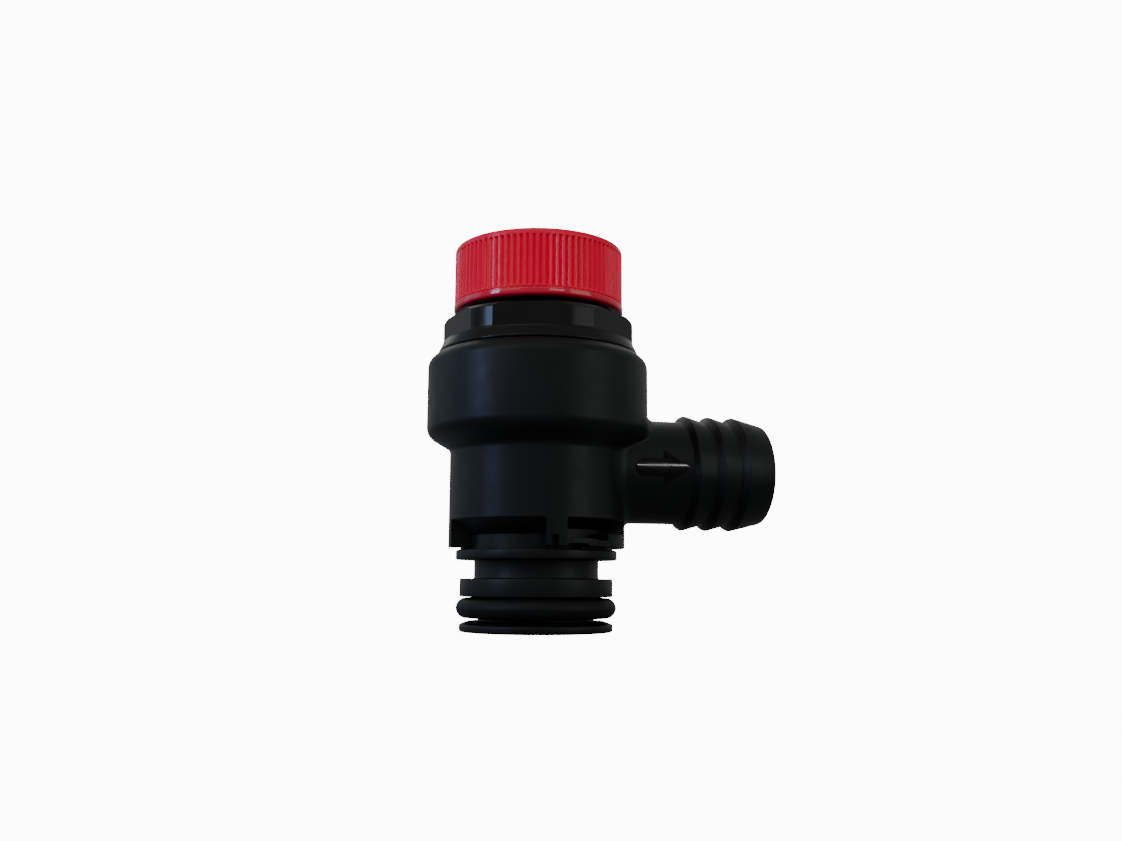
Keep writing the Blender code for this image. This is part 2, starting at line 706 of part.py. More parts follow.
def make_spring_adjuster(material):
    """Ring that screws into the collar, with two slots for the setting tool."""
    ring = make_ring(
        "spring_adjuster",
        STEM_RADIUS + STEM_GUIDE_GAP,
        SPRING_CHAMBER_RADIUS - FIT_GAP,
        ADJUSTER_LOW,
        ADJUSTER_TOP,
        material,
    )
    bm = bmesh.new()
    bmesh.ops.create_cube(bm, size=1.0)
    reach = 2 * SPRING_CHAMBER_RADIUS + CUTTER_REACH
    height = 2 * ADJUSTER_SLOT_DEPTH
    bm.transform(
        Matrix.Translation((0, 0, ADJUSTER_TOP))
        @ Matrix.Diagonal((reach, ADJUSTER_SLOT_WIDTH, height, 1))
    )
    combine(ring, add_mesh("slot_tool", bm), "DIFFERENCE")


def make_knob_nut(material):
    nut = add_mesh("knob_nut", prism(6, NUT_FLATS, NUT_LOW, NUT_TOP), material)
    hole = [
        (0, NUT_LOW - CUTTER_REACH),
        (STEM_HOLE, NUT_LOW - CUTTER_REACH),
        (STEM_HOLE, NUT_TOP + CUTTER_REACH),
        (0, NUT_TOP + CUTTER_REACH),
    ]
    bm = turn_outline(hole, SMALL_FACETS // 2, closed=False)
    combine(nut, add_mesh("nut_hole_tool", bm), "DIFFERENCE")


def knob_ring(height, radius, depth):
    """One ring of the knob's outside, with grooves of some depth between its ribs."""
    ring = []
    for i in range(2 * RIB_COUNT):
        angle = math.pi * i / RIB_COUNT
        reach = radius - (depth if i % 2 else 0.0)
        ring.append((reach * math.cos(angle), reach * math.sin(angle), height))
    return ring


def make_control_knob(material):
    """Ribbed knob with a smooth lower band, and the cam track that rides on the collar."""
    band_top = KNOB_RIM_Z + KNOB_BAND_HEIGHT
    rib_radius = KNOB_RADIUS - RIB_DEPTH / 4
    shoulder = KNOB_TOP - KNOB_TOP_ROUND
    slope = KNOB_TOP_ROUND * math.sin(math.pi / 4)
    rings = [
        knob_ring(KNOB_RIM_Z, KNOB_RADIUS - EDGE_ROUND, 0),
        knob_ring(KNOB_RIM_Z + EDGE_ROUND, KNOB_RADIUS, 0),
        knob_ring(band_top - EDGE_ROUND, KNOB_RADIUS, 0),
        knob_ring(band_top, rib_radius, RIB_DEPTH),
        knob_ring(shoulder, rib_radius, RIB_DEPTH),
        knob_ring(shoulder + slope, rib_radius - KNOB_TOP_ROUND + slope, RIB_DEPTH / 3),
        knob_ring(KNOB_TOP, rib_radius - KNOB_TOP_ROUND, 0),
    ]
    knob = add_mesh("control_knob", skin(rings), material)

    cam_low = CAM_BASE + FIT_GAP
    hollow = [
        (0, KNOB_RIM_Z - CUTTER_REACH),
        (SKIRT_BORE, KNOB_RIM_Z - CUTTER_REACH),
        (SKIRT_BORE, cam_low),
        (HUB_RADIUS, cam_low),
        (HUB_RADIUS, HUB_LOW),
        (0, HUB_LOW),
    ]
    bm = turn_outline(hollow, BODY_FACETS, closed=False)
    raise_cams(bm, cam_low)
    combine(knob, add_mesh("knob_hollow_tool", bm), "DIFFERENCE")

    cap_seat = CAP_LOW - FIT_GAP
    recess = [
        (0, HUB_LOW - CUTTER_REACH),
        (STEM_HOLE, HUB_LOW - CUTTER_REACH),
        (STEM_HOLE, WEB_TOP),
        (CAP_RADIUS + FIT_GAP - CAP_SEAT_WIDTH, WEB_TOP),
        (CAP_RADIUS + FIT_GAP - CAP_SEAT_WIDTH, cap_seat),
        (CAP_RADIUS + FIT_GAP, cap_seat),
        (CAP_RADIUS + FIT_GAP, KNOB_TOP + CUTTER_REACH),
        (0, KNOB_TOP + CUTTER_REACH),
    ]
    bm = turn_outline(recess, SMALL_FACETS, closed=False)
    combine(knob, add_mesh("knob_recess_tool", bm), "DIFFERENCE")


def make_knob_cap(material):
    outline = rounded([
        (0, CAP_LOW),
        (CAP_RADIUS, CAP_LOW),
        (CAP_RADIUS, CAP_TOP, EDGE_ROUND),
        (0, CAP_TOP),
    ])
    add_mesh("knob_cap", turn_outline(outline, SMALL_FACETS, closed=False), material)


clear_scene()
axis = bpy.data.objects.new("valve_axis", None)
axis.location = (AXIS_X, 0, 0)
bpy.context.scene.collection.objects.link(axis)

black_nylon = finish("black_nylon", (0.012, 0.013, 0.015), 0.42)
red_plastic = finish("red_plastic", (0.55, 0.012, 0.022), 0.38)
black_rubber = finish("black_rubber", (0.01, 0.01, 0.011), 0.5)
brass = finish("brass", (0.75, 0.55, 0.25), 0.3, 1.0)
steel = finish("steel", (0.6, 0.6, 0.62), 0.3, 1.0)
slip_plastic = finish("slip_plastic", (0.75, 0.74, 0.7), 0.5)

make_valve_body(black_nylon)
make_inlet_o_ring(black_rubber)
make_bonnet(black_nylon)
make_seat_seal(black_rubber)
make_disc_holder(brass)
make_diaphragm(black_rubber)
make_ring(
    "slip_ring",
    PLUG_RADIUS - SLIP_RING_WIDTH,
    PLUG_RADIUS,
    SLIP_LOW,
    SLIP_TOP,
    slip_plastic,
)
make_spring_plate(steel)
make_stem(brass)
make_valve_spring(steel)
make_ring(
    "spring_washer",
    STEM_RADIUS + STEM_GUIDE_GAP,
    SPRING_CHAMBER_RADIUS - TURN_GAP,
    SPRING_WASHER_LOW,
    SPRING_WASHER_TOP,
    steel,
)
make_spring_adjuster(brass)
make_ring(
    "knob_washer",
    STEM_HOLE,
    KNOB_WASHER_RADIUS,
    KNOB_WASHER_LOW,
    KNOB_WASHER_TOP,
    steel,
    SMALL_FACETS // 2,
)
make_knob_nut(steel)
make_control_knob(red_plastic)
make_knob_cap(red_plastic)
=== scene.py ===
"""Looks of the moulded safety valve: its pieces, finishes, studio and camera.

Blender's lengths are metres. Sizes and outlines here are millimetres, with heights from the spigot's
end face and radii from the valve's axis, and angles are degrees, with 0 along the outlet.
"""

import math

import bpy
from mathutils import Matrix, Vector
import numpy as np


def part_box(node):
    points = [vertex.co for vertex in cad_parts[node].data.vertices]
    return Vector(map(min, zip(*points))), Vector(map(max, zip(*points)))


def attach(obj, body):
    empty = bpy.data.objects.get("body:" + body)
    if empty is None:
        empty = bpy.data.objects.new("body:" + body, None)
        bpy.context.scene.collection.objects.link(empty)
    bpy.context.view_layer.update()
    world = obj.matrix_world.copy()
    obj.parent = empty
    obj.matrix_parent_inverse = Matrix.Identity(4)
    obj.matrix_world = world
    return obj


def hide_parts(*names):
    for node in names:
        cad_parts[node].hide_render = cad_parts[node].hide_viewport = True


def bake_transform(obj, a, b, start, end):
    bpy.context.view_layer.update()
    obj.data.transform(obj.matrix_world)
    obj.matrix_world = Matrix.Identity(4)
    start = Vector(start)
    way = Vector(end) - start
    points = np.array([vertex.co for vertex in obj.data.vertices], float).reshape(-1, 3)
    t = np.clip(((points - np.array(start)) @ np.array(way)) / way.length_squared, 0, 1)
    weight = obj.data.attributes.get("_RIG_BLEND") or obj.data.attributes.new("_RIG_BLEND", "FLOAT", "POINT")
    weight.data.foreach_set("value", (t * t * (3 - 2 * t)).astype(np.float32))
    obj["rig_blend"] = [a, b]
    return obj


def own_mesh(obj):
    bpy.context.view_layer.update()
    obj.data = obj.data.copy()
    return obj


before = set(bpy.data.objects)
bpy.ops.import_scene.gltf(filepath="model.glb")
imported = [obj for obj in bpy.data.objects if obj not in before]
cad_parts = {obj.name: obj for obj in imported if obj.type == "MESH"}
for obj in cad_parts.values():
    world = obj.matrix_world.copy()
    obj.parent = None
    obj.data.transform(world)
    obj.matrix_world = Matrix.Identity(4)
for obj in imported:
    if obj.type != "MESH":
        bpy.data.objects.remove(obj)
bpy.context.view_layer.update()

MM = 0.001
WELD = 0.0005 * MM

# Where the CAD has the valve
RING_LOW, RING_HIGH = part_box("inlet_o_ring")
AXIS_X = (RING_LOW.x + RING_HIGH.x) / 2

# Facets round a full turn
ROUND_SIDES = 240
OUTLET_SIDES = 160
SMALL_SIDES = 96

# Spigot
DISC_RIM_TOP = 0.85
GROOVE_LOW = 1.2
GROOVE_RADIUS = 6.75
FLANGE_RADIUS = 8.9
FLANGE_LOW = 4.0
FLANGE_TOP = 6.05
CLIP_NECK_RADIUS = 7.25
STOP_LOW = 8.18
STOP_TOP = 9.31
STOP_RADIUS = 9.4

# Tube and barrel
CORE_RADIUS = 8.0
NECK_LOW = 9.01
TUBE_FOOT = 9.56
TUBE_RADIUS = 10.3
TUBE_TOP = 20.95
BARREL_FOOT = 22.65
BARREL_RADIUS = 13.1
BARREL_SIDE_TOP = 31.3
BARREL_RIM_RADIUS = 12.05
BARREL_TOP = 32.2

# Pockets cored out of the tube's foot
CORE_LOW = 7.3
POCKET_TOP = 12.75
ROOF_LEAN = 1.8
BAR_TOP = 11.05
SLICE_STEP = 1.5

# Inside of the body
INLET_BORE = 5.5
NOZZLE_RADIUS = 6.7
NOZZLE_TOP = 17.1
NOZZLE_CHAMFER = 0.4
CHAMBER_FLOOR = 13.9
CHAMBER_RADIUS = 8.8
LEDGE = 25.3
THREAD_RADIUS = 10.6

# Hose outlet
OUTLET_Z = 18.9
OUTLET_START = 4.4
OUTLET_RADIUS = 6.25
OUTLET_REACH = 27.8
OUTLET_BORE = 4.6
ROOT_PLACE = 12
ROOT_FILLET = 1.1
ROOT_STEPS = 6
BARB_COUNT = 3
BARB_FIRST = 17.4
BARB_PITCH = 3.1
BARB_FACE = 0.57
BARB_ROOT = 6.3
BARB_RADIUS = 7.0

# Flow arrow on the outlet
ARROW_PROUD = 0.17
ARROW_TIP = 17.0
ARROW_HEAD = 13.85
ARROW_HEAD_HALF = 1.95
ARROW_TAIL = 11.4
ARROW_TAIL_HALF = 1.0

# O-ring
RING_RADIUS = 8.17
RING_HEIGHT = 2.72
RING_SECTION = 1.15
RING_FLASH = 0.035

# Bonnet
PLUG_RADIUS = 10.3
PLUG_FOOT = 28.0
BONNET_JOINT = 32.27
HEX_LOW = 33.75
HEX_TOP = 36.6
HEX_FLATS = 21.0
HEX_TURN = -76.5
HEX_RIM_RADIUS = 11.35
COLLAR_RADIUS = 8.7
SPRING_CHAMBER_RADIUS = 7.3
CAM_BASE = 40.85
CAM_RISE = 1.4
CAM_RAMP = 75
CAM_PITCH = 90

# Knob and cap
KNOB_FOOT = 37.5
KNOB_RADIUS = 10.13
KNOB_TOP = 45.3
BAND_RADIUS = 10.2
BAND_TOP = 38.3
SKIRT_BORE = 9.1
HUB_RADIUS = 6.9
CAM_TRACK = 41.15
STEM_HOLE = 2.3
RIB_COUNT = 84
RIB_DEPTH = 0.3
RIB_LOW = 38.48
RIB_RUN_IN = 0.34
RIB_HIGH = KNOB_TOP - 0.72
RIB_RUN_OUT = 0.2
RIB_GAP_SHARE = 0.75
CAP_RADIUS = 5.3
CAP_FOOT = 44.15
CAP_TOP = 45.2

# Spring and membrane
WIRE = 1.2
COIL_RADIUS = 5.2
COIL_TURNS = 4.25
COIL_END_TURNS = 0.75
COIL_STEPS = 48
SPRING_FOOT = 28.4
SPRING_TOP = 37.15
MEMBRANE_LOW = 25.6
MEMBRANE_TOP = 26.8
MEMBRANE_RADIUS = 10.3
FOLD_INSIDE = 6.9
FOLD_OUTSIDE = 8.7
FOLD_RISE = 0.8
FOLD_STEPS = 12

# Finishes: noise scales, the part of a noise that is used, and a polished foot's shares, one of which
# darkens the foot's colour as painted shade
SHADE_SCALE = 140
SHEEN_SCALE = 420
NOISE_LOW = 0.3
NOISE_HIGH = 0.7
POLISH_EDGE = 0.05
POLISHED_ROUGHNESS = 0.35
POLISHED_SHINE = 0.45
# Share of the base colour kept below the polished foot's height: painted shade
FOOT_PAINTED_SHADE = 0.675

# Studio, in metres
FLOOR_RADIUS = 0.6
FLOOR_GLOW = 11.5
SURROUND_SEEN = 12.0
SURROUND_LIGHT = 0.44
LIGHT_DISTANCE = 0.5

# Camera
CAMERA_TURN = -13.3
CAMERA_AWAY = 123.9
CAMERA_ASIDE = 2.8
CAMERA_HEIGHT = 5.94
CAMERA_TILT = 98.63
CAMERA_ROLL = 0.3
CAMERA_LENS = 33.69


def let_go():
    """Leaves edit mode and deselects everything."""
    if bpy.context.object and bpy.context.object.mode != "OBJECT":
        bpy.ops.object.mode_set(mode="OBJECT")
    bpy.ops.object.select_all(action="DESELECT")


def take(piece):
    """Selects one piece alone and makes it the active one."""
    let_go()
    piece.select_set(True)
    bpy.context.view_layer.objects.active = piece


def from_axis(x, y, z):
    """A point in metres, from millimetres measured from the valve's axis."""
    return Vector((AXIS_X + x * MM, y * MM, z * MM))


def place_on_valve(point):
    """A mesh point as (radius, degrees round the axis, height)."""
    x, y = (point.x - AXIS_X) / MM, point.y / MM
    return math.hypot(x, y), math.degrees(math.atan2(y, x)), point.z / MM


def rounded(corners, steps):
    """An outline whose corners with a fillet radius are turned into arcs."""
    points = []
    last = len(corners) - 1
    for index, corner in enumerate(corners):
        here = Vector(corner[:2])
        fillet = corner[2] if len(corner) > 2 else 0.0
        if fillet <= 0 or index in (0, last):
            points.append(here)
            continue
        before = Vector(corners[index - 1][:2]) - here
        after = Vector(corners[index + 1][:2]) - here
        half = before.angle(after) / 2
        reach = min(fillet / math.tan(half), 0.5 * before.length, 0.5 * after.length)
        radius = reach * math.tan(half)
        before.normalize()
        after.normalize()
        centre = here + (before + after).normalized() * radius / math.sin(half)
        start = here + before * reach - centre
        turn = start.angle_signed(here + after * reach - centre)
        for step in range(steps + 1):
            spoke = start.copy()
            spoke.rotate(Matrix.Rotation(-turn * step / steps, 2))
            points.append(centre + spoke)
    return points


def draw_line(name, points):
    """Draws a chain of edges through the points, one extrusion after another, and stays in edit mode."""
    let_go()
    bpy.ops.mesh.primitive_plane_add(size=MM)
    piece = bpy.context.object
    piece.name = name
    bpy.ops.object.mode_set(mode="EDIT")
    bpy.ops.mesh.select_mode(type="VERT")
    bpy.ops.mesh.select_all(action="SELECT")
    bpy.ops.mesh.merge(type="CENTER")
    bpy.ops.transform.translate(value=points[0])
    for here, there in zip(points, points[1:]):
        bpy.ops.mesh.extrude_region_move(TRANSFORM_OT_translate={"value": there - here})
    return piece


def draw_face(name, points):
    """Draws a closed outline, fills it and leaves the face selected in edit mode."""
    piece = draw_line(name, points)
    bpy.ops.mesh.select_all(action="SELECT")
    bpy.ops.mesh.remove_doubles(threshold=WELD)
    bpy.ops.mesh.select_all(action="SELECT")
    bpy.ops.mesh.edge_face_add()
    return piece


def close_shell(piece):
    """Merges doubles, points the faces outwards and leaves edit mode."""
    bpy.ops.mesh.select_all(action="SELECT")
    bpy.ops.mesh.remove_doubles(threshold=WELD)
    bpy.ops.mesh.dissolve_degenerate(threshold=WELD)
    bpy.ops.mesh.normals_make_consistent(inside=False)
    bpy.ops.object.mode_set(mode="OBJECT")
    return piece


def turned(name, outline, sides=ROUND_SIDES, closed=False):
    """A piece turned round the valve's axis from an outline of (radius, height)."""
    points = [from_axis(r, 0, z) for r, z in outline]
    if closed:
        points.append(points[0])
    piece = draw_line(name, points)
    bpy.ops.mesh.select_all(action="SELECT")
    bpy.ops.mesh.spin(steps=sides, angle=math.tau, center=(AXIS_X, 0, 0), axis=(0, 0, 1))
    return close_shell(piece)


def turned_along_outlet(name, outline):
    """A piece turned round the outlet's axis from (distance from the valve's axis, radius)."""
    piece = draw_line(name, [from_axis(x, 0, OUTLET_Z + r) for x, r in outline])
    bpy.ops.mesh.select_all(action="SELECT")
    centre = from_axis(0, 0, OUTLET_Z)
    bpy.ops.mesh.spin(steps=OUTLET_SIDES, angle=math.tau, center=centre, axis=(1, 0, 0))
    return close_shell(piece)


def boolean(piece, tool, operation):
    """Cuts a piece with a tool or joins the tool to it, throws the tool away and closes the seams."""
    take(piece)
    modifier = piece.modifiers.new(operation.lower(), "BOOLEAN")
    modifier.operation = operation
    modifier.solver = "EXACT"
    modifier.object = tool
    bpy.ops.object.modifier_apply(modifier=modifier.name)
    bpy.data.objects.remove(tool, do_unlink=True)
    bpy.ops.object.mode_set(mode="EDIT")
    close_shell(piece)


def smooth(piece, degrees=32):
    """Shades a piece smooth up to an angle."""
    take(piece)
    bpy.ops.object.shade_smooth_by_angle(angle=math.radians(degrees))


def pick_edges(piece, wanted):
    """Opens a piece in edit mode with the wanted edges selected."""
    take(piece)
    bpy.ops.object.mode_set(mode="EDIT")
    bpy.ops.mesh.select_mode(type="EDGE")
    bpy.ops.mesh.select_all(action="DESELECT")
    bpy.ops.object.mode_set(mode="OBJECT")
    points = piece.data.vertices
    for edge in piece.data.edges:
        edge.select = wanted(*(place_on_valve(points[i].co) for i in edge.vertices))
    bpy.ops.object.mode_set(mode="EDIT")


def pocket_core(low, high, start, end, corner, inside, lean):
    """A slice of a ring that cores out one pocket: its corners are rounded and its roof may lean."""
    outside = TUBE_RADIUS + 2
    slope = lean / (TUBE_RADIUS - CORE_RADIUS)
    back = high - slope * (TUBE_RADIUS - inside)
    front = high + slope * (outside - TUBE_RADIUS)
    section = [(inside, low), (outside, low), (outside, front), (inside, back), (inside, low)]
    axis = Vector((AXIS_X, 0, 0))
    turn = Matrix.Rotation(math.radians(start), 4, "Z")
    core = draw_face("pocket_core", [turn @ (from_axis(r, 0, z) - axis) + axis for r, z in section])
    steps = max(4, round(abs(end - start) / SLICE_STEP))
    bpy.ops.mesh.spin(steps=steps, angle=math.radians(start - end), center=axis, axis=(0, 0, 1))
    close_shell(core)

    def end_corner(a, b):
        same_side = any(abs(a[1] - t) < 0.01 and abs(b[1] - t) < 0.01 for t in (start, end))
        return same_side and abs(a[0] - b[0]) > 1

    pick_edges(core, end_corner)
    bpy.ops.mesh.bevel(offset=corner * MM, segments=4, affect="EDGES")
    return close_shell(core)


def cam_rise(degrees):
    """Height of the cam track over its base: four ramps, each with a short fall."""
    place = degrees % CAM_PITCH
    if CAM_PITCH - place < 1e-4:
        place = 0.0
    if place <= CAM_RAMP:
        return CAM_RISE * place / CAM_RAMP
    return CAM_RISE * (CAM_PITCH - place) / (CAM_PITCH - CAM_RAMP)


def raise_cams(piece, level):
    """Lifts the flat ring at one height into the cam track."""
    for vertex in piece.data.vertices:
        radius, degrees, height = place_on_valve(vertex.co)
        if abs(height - level) < 0.001:
            vertex.co.z += cam_rise(degrees) * MM


TUBE_OUTLINE = rounded([
    (0, NECK_LOW),
    (FLANGE_RADIUS, NECK_LOW),
    (FLANGE_RADIUS, TUBE_FOOT),
    (TUBE_RADIUS, TUBE_FOOT, 0.12),
    (TUBE_RADIUS, TUBE_TOP, 0.8),
    (BARREL_RADIUS, BARREL_FOOT, 1.6),
    (BARREL_RADIUS, BARREL_SIDE_TOP, 1.85),
    (BARREL_RIM_RADIUS, BARREL_TOP, 0.2),
    (0, BARREL_TOP),
], steps=8)


def tube_radius_at(height):
    """The radius of the tube and barrel at a height."""
    for low, high in zip(TUBE_OUTLINE, TUBE_OUTLINE[1:]):
        if low.y <= height <= high.y and high.y > low.y:
            return low.x + (high.x - low.x) * (height - low.y) / (high.y - low.y)
    return TUBE_RADIUS


def core_pockets(body):
    """Cores out the same pockets on both sides of the tube's foot."""
    for side in (1, -1):
        # Low, high, start, end, corner, inside, lean of the roof
        for low, high, start, end, corner, inside, lean in (
            (CORE_LOW, POCKET_TOP, 96.0, 173.6, 0.35, 7.5, ROOF_LEAN),  # back half, open below
            (BAR_TOP, POCKET_TOP, 22, 83.0, 0.12, 7.9, 1.2),  # slot over the bar
            (10.44, 11.3, 60.7, 82.9, 0.1, 7.8, 0),  # the bar's lower stretch
            (10.28, 11.3, 51, 61.5, 0.2, 7.7, 0),  # notch in the bar
            (CORE_LOW, 10.85, 88.5, 92.9, 0.1, 9.4, 0),  # groove in the post
            (CORE_LOW, 9.9, 67.7, 82.4, 0.2, 7.5, 0),  # relief under the bar
        ):
            ends = sorted((side * start, side * end))
            boolean(body, pocket_core(low, high, *ends, corner, inside, lean), "DIFFERENCE")


def make_spigot():
    """The spigot, from its end disc to the stop flange and the core inside the tube."""
    outline = rounded([
        (0, 0),
        (FLANGE_RADIUS, 0, 0.3),
        (FLANGE_RADIUS, DISC_RIM_TOP, 0.2),
        (8.0, GROOVE_LOW),
        (GROOVE_RADIUS, GROOVE_LOW, 0.1),
        (GROOVE_RADIUS, FLANGE_LOW, 0.1),
        (FLANGE_RADIUS, FLANGE_LOW, 0.12),
        (FLANGE_RADIUS, FLANGE_TOP, 0.15),
        (CLIP_NECK_RADIUS, FLANGE_TOP, 0.15),
        (CLIP_NECK_RADIUS, STOP_LOW, 0.2),
        (STOP_RADIUS, STOP_LOW, 0.2),
        (STOP_RADIUS, STOP_TOP, 0.2),
        (CORE_RADIUS, STOP_TOP),
        (CORE_RADIUS, CHAMBER_FLOOR),
        (0, CHAMBER_FLOOR),
    ], steps=4)
    return turned("spigot", outline)


def make_outlet():
    """The barbed hose spigot, with a root that follows the tube and the shoulder round."""
    root = []
    for step in range(ROOT_STEPS + 1):
        sweep = math.radians(86) * (ROOT_STEPS - step) / ROOT_STEPS
        swell = ROOT_FILLET * (1 - math.cos(sweep))
        root.append((ROOT_PLACE + ROOT_FILLET * (1 - math.sin(sweep)), OUTLET_RADIUS + swell))
    barbs = [(14, OUTLET_RADIUS)]
    for number in range(BARB_COUNT):
        foot = BARB_FIRST + number * BARB_PITCH
        barbs.append((foot, BARB_ROOT if number else OUTLET_RADIUS, 0.12))
        barbs.append((foot + BARB_FACE, BARB_RADIUS, 0.12))
    barbs += [(OUTLET_REACH, 6.1, 0.22), (OUTLET_REACH, 0)]
    start = [(OUTLET_START, 0), (OUTLET_START, root[0][1])]
    outlet = turned_along_outlet("outlet", start + root + rounded(barbs, steps=4)[1:])
    for vertex in outlet.data.vertices:
        x = (vertex.co.x - AXIS_X) / MM
        if ROOT_PLACE - 1 < x < ROOT_PLACE + 1.5:
            height = vertex.co.z / MM
            wall = math.sqrt(tube_radius_at(height) ** 2 - (vertex.co.y / MM) ** 2)
            vertex.co.x += (wall - ROOT_PLACE) * MM
    return outlet


def make_hollow():
    """The space inside the body: the bore, the nozzle's lip, the chamber and the bonnet's thread."""
    lip_foot = NOZZLE_TOP - NOZZLE_CHAMFER
    outline = rounded([
        (0, -2),
        (INLET_BORE + 0.4, -2),
        (INLET_BORE, 0.35),
        (INLET_BORE, lip_foot),
        (INLET_BORE + NOZZLE_CHAMFER, NOZZLE_TOP),
        (NOZZLE_RADIUS - NOZZLE_CHAMFER, NOZZLE_TOP),
        (NOZZLE_RADIUS, lip_foot),
        (NOZZLE_RADIUS, CHAMBER_FLOOR, 0.4),
        (CHAMBER_RADIUS, CHAMBER_FLOOR, 0.4),
        (CHAMBER_RADIUS, LEDGE),
        (THREAD_RADIUS, LEDGE),
        (THREAD_RADIUS, 34),
        (0, 34),
    ], steps=4)
    return turned("hollow", outline)


def make_bore():
    """The outlet's bore, flared at its mouth."""
    flared = OUTLET_BORE + 0.45
    return turned_along_outlet("bore", [
        (0, 0),
        (0, OUTLET_BORE),
        (OUTLET_REACH - 0.25, OUTLET_BORE),
        (OUTLET_REACH + 0.2, flared),
        (30, flared),
        (30, 0),
    ])


def make_body():
    """The body: tube with cored pockets, spigot, outlet, then the bores."""
    body = turned("body", TUBE_OUTLINE)
    core_pockets(body)
    boolean(body, make_spigot(), "UNION")
    boolean(body, make_outlet(), "UNION")
    boolean(body, make_hollow(), "DIFFERENCE")
    boolean(body, make_bore(), "DIFFERENCE")
    smooth(body)
    return body


def make_flow_arrow():
    """Raised arrow on the outlet's side that shows which way the water leaves."""
    tail = [math.radians(90 + 180 * step / 12) for step in range(13)]
    outline = [(ARROW_TIP, 0), (ARROW_HEAD, ARROW_HEAD_HALF), (ARROW_HEAD, ARROW_TAIL_HALF)]
    outline += [
        (ARROW_TAIL + ARROW_TAIL_HALF * math.cos(angle), ARROW_TAIL_HALF * math.sin(angle))
        for angle in tail
    ]
    outline += [(ARROW_HEAD, -ARROW_TAIL_HALF), (ARROW_HEAD, -ARROW_HEAD_HALF), (ARROW_TIP, 0)]
    arrow = draw_face("arrow", [from_axis(x, -7.5, OUTLET_Z + rise) for x, rise in outline])
    bpy.ops.mesh.extrude_region_move(TRANSFORM_OT_translate={"value": (0, 2.2 * MM, 0)})
    close_shell(arrow)
    proud = OUTLET_RADIUS + ARROW_PROUD
    mantle = turned_along_outlet("mantle", [(9, 0), (9, proud), (19, proud), (19, 0)])
    boolean(arrow, mantle, "INTERSECT")
    take(arrow)
    edge = arrow.modifiers.new("edge", "BEVEL")
    edge.width = 0.045 * MM
    edge.segments = 2
    edge.limit_method = "ANGLE"
    edge.angle_limit = math.radians(40)
    bpy.ops.object.modifier_apply(modifier=edge.name)
    smooth(arrow, 15)
    return arrow


def make_o_ring():
    """Rubber ring with the fine flash line that its mould leaves outside."""
    outline = []
    for step in range(40):
        around = math.tau * step / 40
        reach = RING_SECTION if step == 0 else RING_SECTION - RING_FLASH
        outline.append((
            RING_RADIUS + reach * math.cos(around),
            RING_HEIGHT + RING_SECTION * math.sin(around),
        ))
    ring = turned("o_ring", outline, closed=True)
    smooth(ring, 50)
    return ring


def make_bonnet():
    """Cover with its plug, flared flange, spanner hexagon and cam collar."""
    outline = rounded([
        (COLLAR_RADIUS, PLUG_FOOT),
        (PLUG_RADIUS, PLUG_FOOT, 0.4),
        (PLUG_RADIUS, BONNET_JOINT),
        (BARREL_RIM_RADIUS, BONNET_JOINT, 0.22),
        (HEX_RIM_RADIUS, HEX_LOW, 1.25),
        (HEX_RIM_RADIUS, HEX_TOP - 0.45, 0.2),
        (HEX_RIM_RADIUS - 0.4, HEX_TOP, 0.12),
        (COLLAR_RADIUS, HEX_TOP, 0.2),
        (COLLAR_RADIUS, CAM_BASE),
        (SPRING_CHAMBER_RADIUS, CAM_BASE),
        (SPRING_CHAMBER_RADIUS, PLUG_FOOT + 3.4),
        (COLLAR_RADIUS, PLUG_FOOT + 2),
    ], steps=8)
    bonnet = turned("bonnet_cover", outline, closed=True)
    raise_cams(bonnet, CAM_BASE)
    cut_top = HEX_TOP + 0.3
    middle = from_axis(0, 0, (HEX_LOW + cut_top) / 2)
    depth = (cut_top - HEX_LOW) * MM
    let_go()
    bpy.ops.mesh.primitive_cylinder_add(vertices=64, radius=16 * MM, depth=depth, location=middle)
    flats = bpy.context.object
    let_go()
    bpy.ops.mesh.primitive_cylinder_add(
        vertices=6,
        radius=HEX_FLATS / 2 / math.cos(math.pi / 6) * MM,
        depth=3 * depth,
        location=middle,
        rotation=(0, 0, math.radians(HEX_TURN - 90)),
    )
    boolean(flats, bpy.context.object, "DIFFERENCE")
    boolean(bonnet, flats, "DIFFERENCE")
    smooth(bonnet, 16)
    return bonnet


def gap_depth(degrees, height):
    """How deep the gap between two ribs is at a place on the knob's side."""
    across = abs((degrees * RIB_COUNT / 360) % 1 - 0.5) * 2
    fall = (1 + math.cos(math.pi * min(across / RIB_GAP_SHARE, 1))) / 2
    run_in = min(max((height - RIB_LOW) / RIB_RUN_IN, 0), 1)
    run_out = min(max((RIB_HIGH - height) / RIB_RUN_OUT, 0), 1)
    return RIB_DEPTH * fall * math.sqrt(run_in * (2 - run_in)) * run_out


